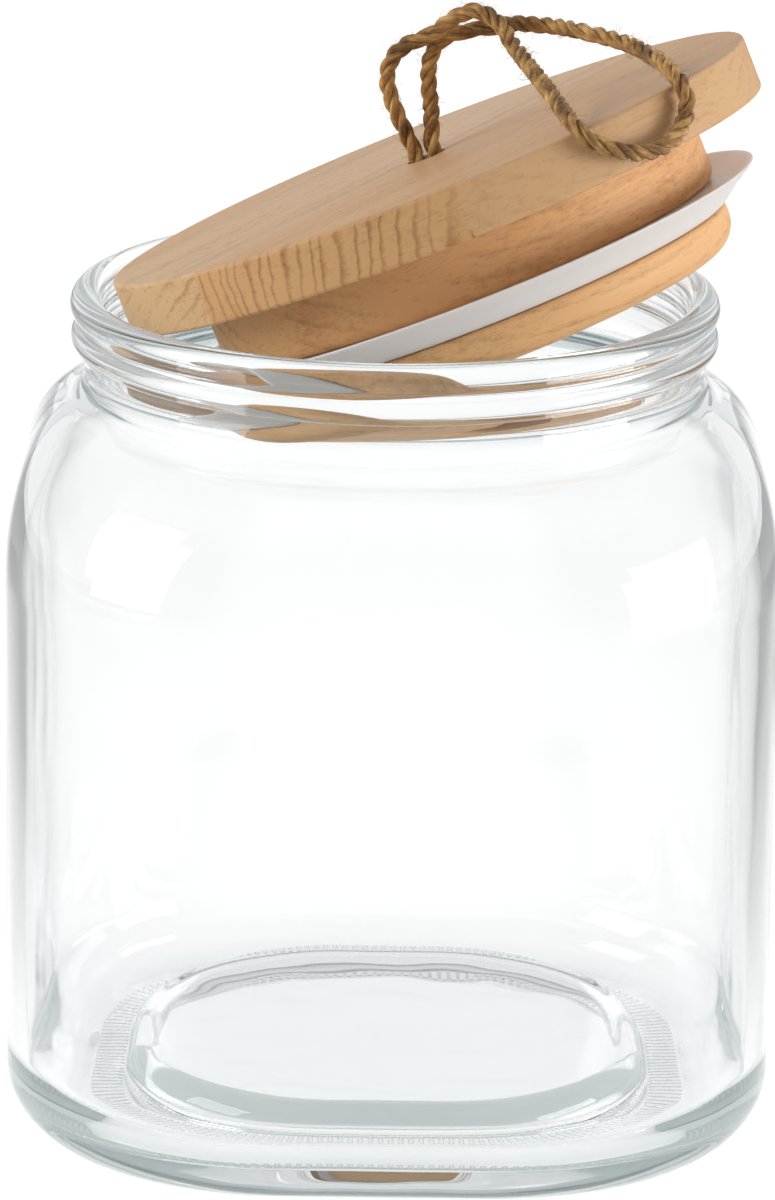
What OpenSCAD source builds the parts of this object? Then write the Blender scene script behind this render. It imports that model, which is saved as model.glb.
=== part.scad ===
// Food canister: a pressed-glass jar with a beech lid, a silicone lip seal and a jute loop.
// Millimetres. The origin is the middle of the jar's base, on the table, with Z up.
// The lid lies askew on the rim: the lean and place of the lid are given in [Lid rest].

/* [Jar] */
// Width of the glass body across its flat sides
body_w = 154; // [144:1:166]
// Height of the jar, from the table to the top of the rim
jar_h = 169; // [155:1:210]
// Radius of the body's upright corners
corner_r = 56; // [46:1:61]
// Radius of the heel, the rounded edge between the sides and the base
heel_r = 14; // [8:0.5:18]
// Thickness of the glass walls
wall = 4; // [3:0.5:5]
// Height of the shoulder, from the end of the upright sides to the foot of the neck
shoulder_h = 33; // [26:0.5:44]
// Height of the neck, from the end of the shoulder to the top of the rim
neck_h = 21; // [16:0.5:24]
// Thickness of the glass of the neck
neck_wall = 3.2; // [2.5:0.1:4]

/* [Base] */
// Thickness of the floor over the push-up
floor_t = 6; // [4:0.5:8]
// Height of the push-up, the hollow under the base
push_up_h = 8; // [2:0.5:9]
// Width of the push-up across its flat sides
push_up_w = 106; // [92:1:112]
// Radius of the push-up's corners
push_up_r = 44; // [34:1:46]
// Depth of the gutter round the raised floor inside
gutter = 6; // [1:0.5:7]

/* [Mouth] */
// Diameter of the mouth's bore
mouth_d = 117.6; // [112:0.2:119]
// Radius of the round bead that forms the rim
rim_r = 3.1; // [2.5:0.1:3.5]
// Radius of the second bead, under the rim
bead_r = 2.8; // [2:0.1:3]
// Drop from the middle of the rim bead to the middle of the second bead
bead_drop = 6.4; // [5.8:0.1:7]
// Radius of the fillet between the neck and the shoulder
neck_fillet = 3; // [1.5:0.5:4]

/* [Lid] */
// Diameter of the lid's top board
board_d = 134; // [130:1:140]
// Thickness of the top board
board_t = 11; // [9:0.5:14]
// Radius of the board's broken edges
board_edge = 2; // [0.5:0.1:2.5]
// Width of each full stave that the board is glued up from
stave_w = 52; // [46:1:60]
// Turn of the staves about the middle of the board
grain_turn = -135; // [-180:5:180]
// Diameter of the plug under the board
plug_d = 104; // [98:1:108]
// Depth of the plug below the board
plug_h = 27; // [24:0.5:32]
// Radius of the plug's lower edge
plug_edge = 6; // [3:0.5:7]
// Radius of the plug's edge above the seal
collar_edge = 2.5; // [1:0.5:3]
// Diameter of the cord hole through the lid
hole_d = 8; // [7.6:0.2:10]
// Diameter of the recess for the knot
recess_d = 24; // [18:1:30]
// Depth of the recess for the knot
recess_h = 13; // [12:0.5:14]

/* [Seal] */
// Depth of the seal's groove below the underside of the board
groove_top = 13.4; // [12:0.1:15]
// Height of the seal's groove
groove_h = 5.2; // [4:0.1:6]
// Depth of the groove into the plug
groove_in = 3.5; // [2:0.5:5]
// Diameter over the seal's free lip
lip_d = 121; // [118.5:0.5:122]
// Height of the lip's tip over the top of the groove
lip_rise = 1.4; // [0.5:0.1:2]
// Thickness of the lip near its tip
lip_t = 1.1; // [0.8:0.1:1.6]

/* [Cord] */
// Diameter of the jute cord
cord_d = 3.2; // [2.4:0.1:3.4]
// Diameter of the knot that holds the cord under the lid
knot_d = 12; // [11:0.5:12]

/* [Lid rest] */
// Lean of the lid from level
lid_lean = 22.9; // [20:0.1:25]
// Compass direction that the top of the lid leans to, from +X towards +Y
lean_turn = 164; // [150:1:180]
// Place of the cord hole's mouth across the jar: X
lid_x = 5.8; // [3:0.1:8]
// Place of the cord hole's mouth along the jar: Y
lid_y = -2.6; // [-5:0.1:0]
// Play between the leaning lid and the rim bead
rest_gap = 0.4; // [0.2:0.1:1]

/* [Hidden] */
$fn = 72;

glass = [0.86, 0.93, 0.93, 0.45];
beech = [0.84, 0.67, 0.47];
beech_dark = [0.76, 0.56, 0.37];
silicone = [0.93, 0.92, 0.91, 0.8];
jute = [0.66, 0.50, 0.31];

// ---- jar ----
mouth_r = mouth_d / 2;
neck_r = mouth_r + neck_wall;
rim_mid_r = mouth_r + rim_r;
rim_mid_z = jar_h - rim_r;
bead_mid_r = neck_r;
bead_mid_z = rim_mid_z - bead_drop;
neck_foot_z = jar_h - neck_h;
shoulder_z = neck_foot_z - shoulder_h;
bend_steps = 6;
shoulder_steps = 10;
corner_steps = 12;
// The shoulder's upper end runs under the neck, so that the two melt together.
shoulder_in = 3;

// A flat-sided ring with round corners, seen from above, starting at the middle of the +X side.
// Where the corner radius equals half the width, the ring is a circle.
function quarter(p, q) = q == 0 ? p : quarter([-p.y, p.x], q - 1);
function ring(half, r, z) = [
    for (q = [0:3], i = [0:corner_steps])
        let (turn = 90 * (i - 0.5) / corner_steps,
             reach = half - r,
             p = i == 0 ? [half, 0] : [reach + r * cos(turn), reach + r * sin(turn)],
             t = quarter(p, q))
        [t.x, t.y, z]
];

// A closed solid through a stack of rings, each given as [half width, corner radius, height].
module loft(stack) {
    n = 4 * (corner_steps + 1);
    last = (len(stack) - 1) * n;
    polyhedron(
        points = [for (s = stack) each ring(s[0], s[1], s[2])],
        faces = concat(
            [[for (i = [0:n - 1]) i]],
            [for (k = [0:len(stack) - 2], i = [0:n - 1])
                let (a = k * n + i, b = k * n + (i + 1) % n)
                each [[a, a + n, b + n], [a, b + n, b]]],
            [[for (i = [n - 1:-1:0]) last + i]]));
}

// The rounded edge at the foot of a wall that stands half_w from the middle.
function heel(half_w, corner, r, z) = [
    for (i = [0:bend_steps])
        let (t = 90 * i / bend_steps, in = r * (1 - sin(t)))
        [half_w - in, corner - in, z + r * (1 - cos(t))]
];

// The shoulder: a sweep from the flat-sided body in to a circle under the neck, a little fuller
// than an ellipse.
function shoulder(half_w, corner, top_r, z, h) = [
    for (i = [0:shoulder_steps])
        let (t = 90 * i / shoulder_steps,
             out = pow(cos(t), 0.8),
             half = top_r + (half_w - top_r) * out)
        [half, half - (half_w - corner) * out, z + h * sin(t)]
];

module glass_jar() {
    half_w = body_w / 2;
    inner_w = half_w - wall;
    inner_corner = corner_r - wall;
    bowl_z = floor_t + push_up_h - gutter;
    color(glass)
    difference() {
        union() {
            loft(concat(heel(half_w, corner_r, heel_r, 0),
                        shoulder(half_w, corner_r, neck_r - shoulder_in, shoulder_z, shoulder_h)));
            neck();
        }
        difference() {
            loft(concat(heel(inner_w, inner_corner, heel_r - gutter / 2, bowl_z),
                        shoulder(inner_w, inner_corner, mouth_r - shoulder_in,
                                 shoulder_z - wall / 2, shoulder_h - wall / 2)));
            raised_floor(bowl_z);
        }
        push_up();
        mouth_bore();
    }
}

// The dome-edged hollow under the base, which leaves a flat bearing band round it.
module push_up() {
    half = push_up_w / 2;
    loft([[half, push_up_r, -1], [half, push_up_r, 0],
          [half - push_up_h * 0.4, push_up_r - push_up_h * 0.4, push_up_h * 0.75],
          [half - push_up_h, push_up_r - push_up_h, push_up_h]]);
}

// The raised middle of the floor, which follows the push-up under it.
module raised_floor(z) {
    half = push_up_w / 2;
    loft([[half, push_up_r, z - 1], [half, push_up_r, z],
          [half - gutter * 0.3, push_up_r - gutter * 0.3, z + gutter * 0.7],
          [half - gutter, push_up_r - gutter, z + gutter]]);
}

// Neck wall, rim bead, second bead and the fillet into the shoulder, all turned about the axis.
module neck() {
    foot = neck_foot_z - shoulder_in;
    rotate_extrude() {
        translate([mouth_r - 1, foot]) square([neck_r - mouth_r + 1, rim_mid_z - foot]);
        translate([rim_mid_r, rim_mid_z]) circle(r = rim_r, $fn = 32);
        translate([bead_mid_r, bead_mid_z]) circle(r = bead_r, $fn = 32);
        translate([neck_r, neck_foot_z]) neck_fillet_shape();
    }
}

// The hollow corner where the neck meets the shoulder.
module neck_fillet_shape() {
    difference() {
        translate([-1, -2]) square([neck_fillet + 1, neck_fillet + 2]);
        translate([neck_fillet, neck_fillet]) circle(r = neck_fillet, $fn = 32);
    }
}

// The bore ends at the middle of the rim bead, whose round inner side is the lip of the mouth.
module mouth_bore() {
    foot = neck_foot_z - 2 * wall;
    translate([0, 0, foot]) cylinder(r = mouth_r, h = rim_mid_z - foot);
}

// ---- lid ----
board_r = board_d / 2;
plug_r = plug_d / 2;
lid_h = board_t + plug_h;
groove_z = -board_t - groove_top;
groove_r = plug_r - groove_in;
recess_z = -lid_h + recess_h;
// Play round the seal's foot in its groove.
seal_gap = 0.1;
stave_count = 4;

// The lid's outline as [radius, depth]: the board's underside and edge, the plug's side, foot and
// bottom, and the seal's lip. These are all that can meet the rim.
function arc(n) = [for (i = [0:n]) 90 * i / n];
lid_outline = concat(
    [for (i = [0:4]) [plug_r + (board_r - board_edge - plug_r) * i / 4, board_t]],
    [for (a = arc(4)) [board_r - board_edge * (1 - sin(a)), board_t - board_edge * (1 - cos(a))]],
    [for (i = [0:8]) [plug_r, board_t + (plug_h - plug_edge) * i / 8]],
    [for (a = arc(6)) [plug_r - plug_edge * (1 - cos(a)), lid_h - plug_edge * (1 - sin(a))]],
    [for (i = [0:4]) [(plug_r - plug_edge) * i / 4, lid_h]],
    [[lip_d / 2, -groove_z - lip_rise], [lip_d / 2, -groove_z - lip_rise + lip_t / 2],
     [plug_r + 5, -groove_z - lip_rise + 2.6]]);

// How high the cord hole's mouth must be over the middle of the rim bead for one ring of the
// outline, of radius r at depth d, to pass the bead with the play at every turn.
function ring_rise(r, d) = max([
    for (a = [0:2:358])
        let (along = r * cos(a) * cos(lid_lean) - d * sin(lid_lean),
             across = r * sin(a),
             drop = r * cos(a) * sin(lid_lean) + d * cos(lid_lean),
             x = lid_x + along * cos(lean_turn) - across * sin(lean_turn),
             y = lid_y + along * sin(lean_turn) + across * cos(lean_turn),
             off = abs(norm([x, y]) - rim_mid_r),
             room = rim_r + rest_gap)
        off < room ? drop + sqrt(room * room - off * off) : 0]);
lid_rise = max([for (o = lid_outline) ring_rise(o[0], o[1])]);

// Puts the lid, drawn level with the mouth of its cord hole at the origin, askew on the rim.
module at_rest() {
    translate([lid_x, lid_y, rim_mid_z + lid_rise])
    rotate([0, 0, lean_turn]) rotate([0, lid_lean, 0]) rotate([0, 0, -lean_turn])
    children();
}

// A square corner of the profile rounded to radius r: [x, y] is the corner, from and to are angles.
function rounded(x, y, r, from, to) = [
    for (i = [0:5])
        let (t = from + (to - from) * i / 5)
        [x + r * cos(t), y + r * sin(t)]
];

module board() {
    rotate_extrude()
    polygon(concat(
        [[hole_d / 2, 0]],
        rounded(board_r - board_edge, -board_edge, board_edge, 90, 0),
        rounded(board_r - board_edge, -board_t + board_edge, board_edge, 0, -90),
        [[hole_d / 2, -board_t]]));
}

// One stave of the board: staves 2 and 3 meet on the hole's centre line, 1 and 4 are the offcuts outside.
module lid_stave(n) {
    from = (n - 1 - stave_count / 2) * stave_w;
    color(n % 2 == 0 ? beech : beech_dark)
    at_rest()
    intersection() {
        board();
        rotate([0, 0, grain_turn])
            translate([-board_d, from, -2 * board_t]) cube([2 * board_d, stave_w, 3 * board_t]);
    }
}

// The plug is one turning: a collar over the seal, the groove, and a foot with a well-rounded edge.
module lid_plug() {
    color(beech)
    at_rest()
    rotate_extrude()
    polygon(concat(
        [[hole_d / 2, -board_t], [plug_r, -board_t]],
        rounded(plug_r - collar_edge, groove_z + collar_edge, collar_edge, 0, -90),
        [[groove_r, groove_z], [groove_r, groove_z - groove_h]],
        rounded(plug_r - 1, groove_z - groove_h - 1, 1, 90, 0),
        rounded(plug_r - plug_edge, -lid_h + plug_edge, plug_edge, 0, -90),
        [[recess_d / 2, -lid_h], [recess_d / 2, recess_z], [hole_d / 2, recess_z]]));
}

// A foot that sits in the plug's groove, and a thin lip that flares up and out to wipe the mouth's bore.
module seal_ring() {
    lip_r = lip_d / 2;
    top = groove_z - seal_gap;
    bottom = groove_z - groove_h + seal_gap;
    tip_z = groove_z + lip_rise;
    color(silicone)
    at_rest()
    rotate_extrude()
    polygon([
        [groove_r + seal_gap, top], [groove_r + seal_gap, bottom],
        [plug_r - 0.5, bottom], [plug_r + 1.2, bottom + 0.9],
        [plug_r + 5, tip_z - 2.6], [lip_r, tip_z - lip_t * 0.5], [lip_r - 0.2, tip_z],
        [lip_r - 1.4, tip_z - 0.2], [plug_r + 2.5, top - 1.6], [plug_r - 0.5, top]]);
}

// ---- cord ----
cord_r = cord_d / 2;
cord_sides = 8;
// Half the distance between the two strands in the hole.
strand_gap = 1.8;
// Clearance between the ends of the loop and the knot under them.
knot_gap = 0.4;
knot_z = recess_z - knot_d / 2 - 0.2;
strand_end_z = knot_z + knot_d / 2 + knot_gap;

// The loop's route in the lid's own frame: up out of the hole, over the edge of the board and back.
cord_route = [
    [-strand_gap, 0, strand_end_z], [-strand_gap, 0, -8], [-strand_gap, 0, 1],
    [-2.1, -1, 7.7], [-2.2, -1.5, 13.1], [-1.4, -2.1, 17.7], [1.4, -2.5, 21.2], [5.4, -3.5, 22.5],
    [10.1, -4.1, 22.6], [15.8, -4.5, 24.1], [20.1, -5, 23.7], [23.3, -7.5, 20.2], [24.7, -13.9, 15.3],
    [26.8, -27, 11.3], [28.8, -39.7, 7.8], [30.3, -50.6, 4.8], [31.6, -58.9, 2.2], [33.1, -61.5, -1],
    [35.3, -61.5, -3.8], [38.2, -60.2, -6.2], [41.6, -57.7, -8.2], [44.9, -54.8, -9.1], [48.2, -51.2, -8.7],
    [51, -48, -6.9], [52.8, -46, -4.4], [53.4, -45, -1.1], [52.4, -41.2, 2.4], [50.2, -32.9, 5],
    [47.3, -23.9, 7.4], [44.2, -17.2, 9.4], [39.7, -11.7, 12], [35, -6.1, 14.5], [30.5, -2, 16.4],
    [25.4, -0.4, 18.5], [20.7, -0.3, 19.4], [15.8, -0.1, 20.5], [10.9, 0, 20.4], [7.5, 0.1, 17.4],
    [5.6, 0.2, 13], [4.2, 0.2, 8], [strand_gap, 0, 1], [strand_gap, 0, -8], [strand_gap, 0, strand_end_z]
];

function unit(v) = v / norm(v);
function heading(path, i) =
    unit(path[min(i + 1, len(path) - 1)] - path[max(i - 1, 0)]);
function square_to(v, d) = unit(v - d * (v * d));

// A round tube along a path, as one solid. Each ring's start direction is carried on from the last.
module tube(path, r, sides) {
    n = len(path);
    ups = [for (i = 0, up = [0, 1, 0]; i < n;
                i = i + 1, up = i < n ? square_to(up, heading(path, i)) : up) up];
    rings = [for (i = [0:n - 1])
        let (d = heading(path, i), u = square_to(ups[i], d), v = cross(d, u))
        each [for (s = [0:sides - 1])
            let (t = 360 * s / sides)
            path[i] + r * (u * cos(t) + v * sin(t))]];
    polyhedron(
        points = rings,
        faces = concat(
            [[for (s = [0:sides - 1]) s]],
            [for (i = [0:n - 2], s = [0:sides - 1])
                let (a = i * sides + s, b = i * sides + (s + 1) % sides)
                each [[a, a + sides, b + sides], [a, b + sides, b]]],
            [[for (s = [sides - 1:-1:0]) (n - 1) * sides + s]]));
}

module cord_loop() {
    color(jute) at_rest() tube(cord_route, cord_r, cord_sides);
}

// The knot is as round as the tightened cord, so the lid can swing about it.
module cord_knot() {
    color(jute) at_rest() translate([0, 0, knot_z]) sphere(d = knot_d);
}

glass_jar();
lid_stave(1);  // lid_stave_1
lid_stave(2);  // lid_stave_2
lid_stave(3);  // lid_stave_3
lid_stave(4);  // lid_stave_4
lid_plug();
seal_ring();
cord_knot();
cord_loop();
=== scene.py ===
# %% [markdown]
# # Food canister: glass jar, beech lid, silicone seal and jute loop
# The jar is pressed glass with a rounded-square body and a round, beaded mouth. A beech lid with a
# silicone lip seal leans in the mouth, and a jute loop to lift it by falls over its edge.
# This notebook dresses the plain CAD solids: each one is replaced by a smooth mesh of the same form.

# %% Start from the CAD frame
import math
import bmesh
import bpy
from mathutils import Matrix, Vector


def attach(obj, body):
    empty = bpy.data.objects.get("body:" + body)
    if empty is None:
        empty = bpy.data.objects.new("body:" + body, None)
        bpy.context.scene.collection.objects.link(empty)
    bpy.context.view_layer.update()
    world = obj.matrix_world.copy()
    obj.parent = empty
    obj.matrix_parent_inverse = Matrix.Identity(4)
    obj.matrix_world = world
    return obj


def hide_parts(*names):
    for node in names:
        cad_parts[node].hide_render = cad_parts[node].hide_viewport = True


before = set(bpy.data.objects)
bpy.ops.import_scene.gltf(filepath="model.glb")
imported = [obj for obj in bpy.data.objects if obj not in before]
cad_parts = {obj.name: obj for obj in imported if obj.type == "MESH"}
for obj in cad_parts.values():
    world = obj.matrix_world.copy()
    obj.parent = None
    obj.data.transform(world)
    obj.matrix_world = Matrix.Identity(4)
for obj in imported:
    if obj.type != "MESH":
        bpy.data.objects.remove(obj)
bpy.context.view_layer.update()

# %% [markdown]
# ## Sizes
# The sizes of the part's source in metres, except that the board's edge is crisper. The rim is where the lid,
# the mouth and the camera meet, so the lid's place and the camera's height are counted from the middle of the
# rim's bead.

# %% Sizes of the jar
mm = 0.001
body_half = 77 * mm
jar_h = 169 * mm
corner_r = 56 * mm
heel_r = 14 * mm
wall = 4 * mm
shoulder_h = 33 * mm
neck_h = 21 * mm
neck_wall = 3.2 * mm
neck_fillet = 3 * mm
mouth_r = 58.8 * mm
rim_r = 3.1 * mm
bead_r = 2.8 * mm
bead_drop = 6.4 * mm
rim_z = jar_h - rim_r

# %% Sizes of the jar's foot
floor_t = 6 * mm
push_h = 8 * mm
push_half = 53 * mm
push_r = 44 * mm
gutter = 6 * mm
band_lift = 0.4 * mm

# %% Sizes of the lid, the seal's groove and the cord
board_r = 67 * mm
board_t = 11 * mm
board_edge = 0.9 * mm
stave_w = 52 * mm
plug_r = 52 * mm
plug_h = 27 * mm
plug_edge = 6 * mm
collar_edge = 2.5 * mm
lid_h = board_t + plug_h
hole_r = 4 * mm
recess_r = 12 * mm
recess_h = 13 * mm
groove_top = 13.4 * mm
groove_h = 5.2 * mm
groove_in = 3.5 * mm
knot_d = 12 * mm

# %% Place of the lid
# The lid is drawn level, with the mouth of its cord hole at the origin, and then leaned into place. That mouth
# ends up this many millimetres over the rim.
lid_over_rim = 30.372
lid_place = Vector((5.8, -2.6, rim_z / mm + lid_over_rim)) * mm
lean = math.radians(22.9)
lean_turn = math.radians(164)
grain_turn = math.radians(-135)
turn_back = Matrix.Rotation(-lean_turn, 4, "Z")
lid_turn = Matrix.Rotation(lean_turn, 4, "Z") @ Matrix.Rotation(lean, 4, "Y") @ turn_back
LID = Matrix.Translation(lid_place) @ lid_turn
GRAIN = LID @ Matrix.Rotation(grain_turn, 4, "Z")
print("lid leans", round(math.degrees(lean), 1), "degrees, hole's mouth at", [round(v, 4) for v in lid_place])

# %% [markdown]
# ## Camera
# A long lens from 1.45 m away, about 14 degrees above the rim. It looks down a little more steeply than that,
# which puts the rim in the upper part of the frame without shifting the lens.

# %% Camera
view_dist = 1.45
view_up = math.radians(13.94)
view_pitch = math.radians(90 - 16.295)
view_roll = math.radians(0.65)
view_yaw = math.radians(0.036)
eye = Vector((0, -view_dist * math.cos(view_up), rim_z + view_dist * math.sin(view_up)))
camera = bpy.data.objects.new("camera", bpy.data.cameras.new("camera"))
bpy.context.scene.collection.objects.link(camera)
camera.matrix_world = (Matrix.Translation(eye) @ Matrix.Rotation(view_yaw, 4, "Z")
                       @ Matrix.Rotation(view_pitch, 4, "X") @ Matrix.Rotation(view_roll, 4, "Z"))
camera.data.sensor_width = 36
camera.data.lens = 217.55
bpy.context.scene.camera = camera
bpy.context.scene.view_settings.view_transform = "Standard"
print("eye at", [round(v, 3) for v in eye], "lens", camera.data.lens)

# %% [markdown]
# ## Helpers for meshes
# Turned pieces are a profile swung about an axis, so one helper makes them all. A finished mesh keeps its
# place in its points, and its object stays at the origin.

# %% A mesh from points, and a turned one
def add_mesh(name, points, faces, smooth=True):
    mesh = bpy.data.meshes.new(name)
    mesh.from_pydata([tuple(p) for p in points], [], faces)
    mesh.validate()
    mesh.polygons.foreach_set("use_smooth", [smooth] * len(mesh.polygons))
    obj = bpy.data.objects.new(name, mesh)
    bpy.context.scene.collection.objects.link(obj)
    return obj


def turned(profile, steps=192, place=LID):
    """Points and faces of a closed loop of [radius, height] points swung about the axis."""
    points, faces, n = [], [], len(profile)
    for s in range(steps):
        a = 2 * math.pi * s / steps
        points += [place @ Vector((r * math.cos(a), r * math.sin(a), z)) for r, z in profile]
    for s in range(steps):
        t = (s + 1) % steps
        faces += [(s * n + i, t * n + i, t * n + (i + 1) % n, s * n + (i + 1) % n) for i in range(n)]
    return points, faces


def bend(x, y, r, start, end, steps=8):
    """Points on a round corner whose middle is x, y."""
    turns = [math.radians(start + (end - start) * i / steps) for i in range(steps + 1)]
    return [(x + r * math.cos(t), y + r * math.sin(t)) for t in turns]


# %% Faces that point outwards, and edges that stay crisp
def outward(obj):
    """Point every face outwards, once the doubles are merged."""
    bm = bmesh.new()
    bm.from_mesh(obj.data)
    bmesh.ops.remove_doubles(bm, verts=bm.verts, dist=1e-6)
    bmesh.ops.recalc_face_normals(bm, faces=bm.faces)
    bm.to_mesh(obj.data)
    bm.free()


def crisp(obj, angle=35):
    """Keep edges sharper than the angle crisp in a smooth-shaded mesh."""
    bm = bmesh.new()
    bm.from_mesh(obj.data)
    for e in bm.edges:
        e.smooth = not (len(e.link_faces) == 2 and e.calc_face_angle(0) > math.radians(angle))
    bm.to_mesh(obj.data)
    bm.free()


# %% A smooth path through points
def curve_through(points, parts=12):
    """Many points on a smooth curve that passes through the given ones."""
    dense = []
    for i in range(len(points) - 1):
        near = [max(0, min(len(points) - 1, i + k)) for k in (-1, 0, 1, 2)]
        a, b, c, d = (Vector(points[k]) for k in near)
        for s in range(parts):
            t = s / parts
            bow = (2 * a - 5 * b + 4 * c - d) * t ** 2
            swing = (3 * b - a - 3 * c + d) * t ** 3
            dense.append(0.5 * (2 * b + (c - a) * t + bow + swing))
    dense.append(Vector(points[-1]))
    return dense


def smooth_path(points, step=0.8 * mm):
    """The smooth curve through the points, cut into even steps."""
    dense = curve_through(points)
    out, left = [dense[0]], step
    for a, b in zip(dense, dense[1:]):
        run = (b - a).length
        while run >= left > 0:
            a = a + (b - a) * (left / run)
            out.append(a.copy())
            run, left = (b - a).length, step
        left -= run
    if (out[-1] - dense[-1]).length > step * 0.5:
        out.append(dense[-1])
    else:
        out[-1] = dense[-1]
    return out


# %% [markdown]
# ## Helpers for node trees
# Trees for Geometry Nodes and materials are built with a few short helpers. A geometry tree is run once,
# its result is kept as a plain mesh, and the modifier goes.

# %% Helpers that add nodes
def node(tree, kind, links=None, **settings):
    """A node with its settings, and its inputs set or linked by name or number."""
    n = tree.nodes.new(kind)
    for key, value in settings.items():
        setattr(n, key, value)
    for key, value in (links or {}).items():
        socket = n.inputs[key]
        if isinstance(value, bpy.types.NodeSocket):
            tree.links.new(value, socket)
        else:
            socket.default_value = value
    return n


def maths(tree, operation, *values, clamp=False):
    links = dict(enumerate(values))
    return node(tree, "ShaderNodeMath", links, operation=operation, use_clamp=clamp).outputs[0]


def vectors(tree, operation, *values):
    return node(tree, "ShaderNodeVectorMath", dict(enumerate(values)), operation=operation).outputs[0]


def scaled(tree, vector, scale):
    """A vector times a number."""
    links = {0: vector, "Scale": scale}
    return node(tree, "ShaderNodeVectorMath", links, operation="SCALE").outputs[0]


def noise(tree, vector, scale, detail=2.0, roughness=0.5):
    links = {"Vector": vector, "Scale": scale, "Detail": detail, "Roughness": roughness}
    return node(tree, "ShaderNodeTexNoise", links).outputs["Fac"]


def noise_along(tree, along, scale, detail=1.0):
    """Noise that changes along one length only."""
    links = {"W": along, "Scale": scale, "Detail": detail}
    return node(tree, "ShaderNodeTexNoise", links, noise_dimensions="1D").outputs["Fac"]


def stretched(tree, vector, scale):
    return node(tree, "ShaderNodeMapping", {"Vector": vector, "Scale": scale}).outputs[0]


def eased(tree, value, start, end, smooth=False, to=(0.0, 1.0)):
    """A value that goes from one number to another between start and end, and stays there outside them."""
    links = {"Value": value, "From Min": start, "From Max": end, "To Min": to[0], "To Max": to[1]}
    how = "SMOOTHSTEP" if smooth else "LINEAR"
    return node(tree, "ShaderNodeMapRange", links, interpolation_type=how).outputs[0]


# %% Helpers that run a geometry tree
def geometry_tree(name, **sizes):
    """An empty tree with named inputs for its sizes, and its two end nodes."""
    tree = bpy.data.node_groups.new(name, "GeometryNodeTree")
    tree.interface.new_socket("Geometry", in_out="INPUT", socket_type="NodeSocketGeometry")
    tree.interface.new_socket("Geometry", in_out="OUTPUT", socket_type="NodeSocketGeometry")
    kinds = {bpy.types.Material: "NodeSocketMaterial", int: "NodeSocketInt"}
    for key, value in sizes.items():
        kind = kinds.get(type(value), "NodeSocketFloat")
        tree.interface.new_socket(key, in_out="INPUT", socket_type=kind).default_value = value
    return tree, tree.nodes.new("NodeGroupInput"), tree.nodes.new("NodeGroupOutput")


def finish_tree(tree, result, geometry, look, smooth=True):
    """End a tree in Realize Instances and Set Material."""
    real = node(tree, "GeometryNodeRealizeInstances", {"Geometry": geometry}).outputs[0]
    if smooth:
        real = node(tree, "GeometryNodeSetShadeSmooth", {"Geometry": real}).outputs[0]
    dressed = node(tree, "GeometryNodeSetMaterial", {"Geometry": real, "Material": look})
    tree.links.new(dressed.outputs[0], result.inputs[0])
    print("tree", tree.name, len(tree.nodes), "nodes")


def grown(name, base, tree):
    """Run the tree on the base object and keep the result as a plain mesh."""
    mod = base.modifiers.new(name, "NODES")
    mod.node_group = tree
    bpy.context.view_layer.update()
    seen = base.evaluated_get(bpy.context.evaluated_depsgraph_get())
    mesh = bpy.data.meshes.new_from_object(seen)
    base.modifiers.remove(mod)
    bpy.data.objects.remove(base)
    mesh.name = name
    obj = bpy.data.objects.new(name, mesh)
    bpy.context.scene.collection.objects.link(obj)
    print(name, len(mesh.polygons), "faces")
    return obj


def path_curve(name, points, closed=False):
    data = bpy.data.curves.new(name, "CURVE")
    data.dimensions = "3D"
    line = data.splines.new("POLY")
    line.points.add(len(points) - 1)
    line.points.foreach_set("co", [v for p in points for v in (*p, 1)])
    line.use_cyclic_u = closed
    obj = bpy.data.objects.new(name, data)
    bpy.context.scene.collection.objects.link(obj)
    return obj


# %% Helpers for materials
def material(name):
    mat = bpy.data.materials.new(name)
    mat.use_nodes = True
    return mat, mat.node_tree, mat.node_tree.nodes["Principled BSDF"]


def object_place(tree):
    return node(tree, "ShaderNodeTexCoord").outputs["Object"]


def bumped(tree, skin, height, strength, distance):
    """Feed a height through a Bump node into the skin's Normal."""
    links = {"Height": height, "Strength": strength, "Distance": distance}
    tree.links.new(node(tree, "ShaderNodeBump", links).outputs[0], skin.inputs["Normal"])


def dress(obj, mat, body, slot, *replaced):
    obj.data.materials.clear()
    obj.data.materials.append(mat)
    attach(obj, body)
    if replaced:
        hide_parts(*replaced)


# %% [markdown]
# ## Jute
# Jute yarn is spun from coarse brown fibres, and each ply shows them as fine dark and pale streaks that wind
# along it. The streaks here come from noise stretched along the cord's own length, which the tree that twists
# the plies stores on the mesh.

# %% Jute material
jute_tones = {0.34: (0.06, 0.026, 0.006), 0.45: (0.25, 0.122, 0.034),
              0.55: (0.51, 0.28, 0.086), 0.68: (0.82, 0.56, 0.23)}
jute, nt, skin = material("twisted jute")
along = node(nt, "ShaderNodeAttribute", attribute_name="lay").outputs["Vector"]
fibres = noise(nt, stretched(nt, along, (420, 5, 1)), 1.0, 5.0, 0.65)
blotch = noise(nt, object_place(nt), 190.0, 3.0)
mixed = maths(nt, "MULTIPLY", maths(nt, "ADD", fibres, blotch), 0.5)
tint = node(nt, "ShaderNodeValToRGB", {"Fac": mixed})
for tone_at, colour in jute_tones.items():
    tint.color_ramp.elements.new(tone_at).color = (*colour, 1)
tint.color_ramp.elements.remove(tint.color_ramp.elements[0])
tint.color_ramp.elements.remove(tint.color_ramp.elements[-1])
nt.links.new(tint.outputs["Color"], skin.inputs["Base Color"])
skin.inputs["Roughness"].default_value = 0.85
skin.inputs["Sheen Weight"].default_value = 0.12
skin.inputs["Sheen Roughness"].default_value = 0.5
bumped(nt, skin, fibres, 0.9, 0.0004)
print("made", jute.name)

# %% [markdown]
# ## The cord's route
# The loop leaves the hole as two strands side by side, rises in a small bight, and falls over the edge of the
# board. The route repeats the points of its CAD solid, in the lid's own frame.

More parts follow.
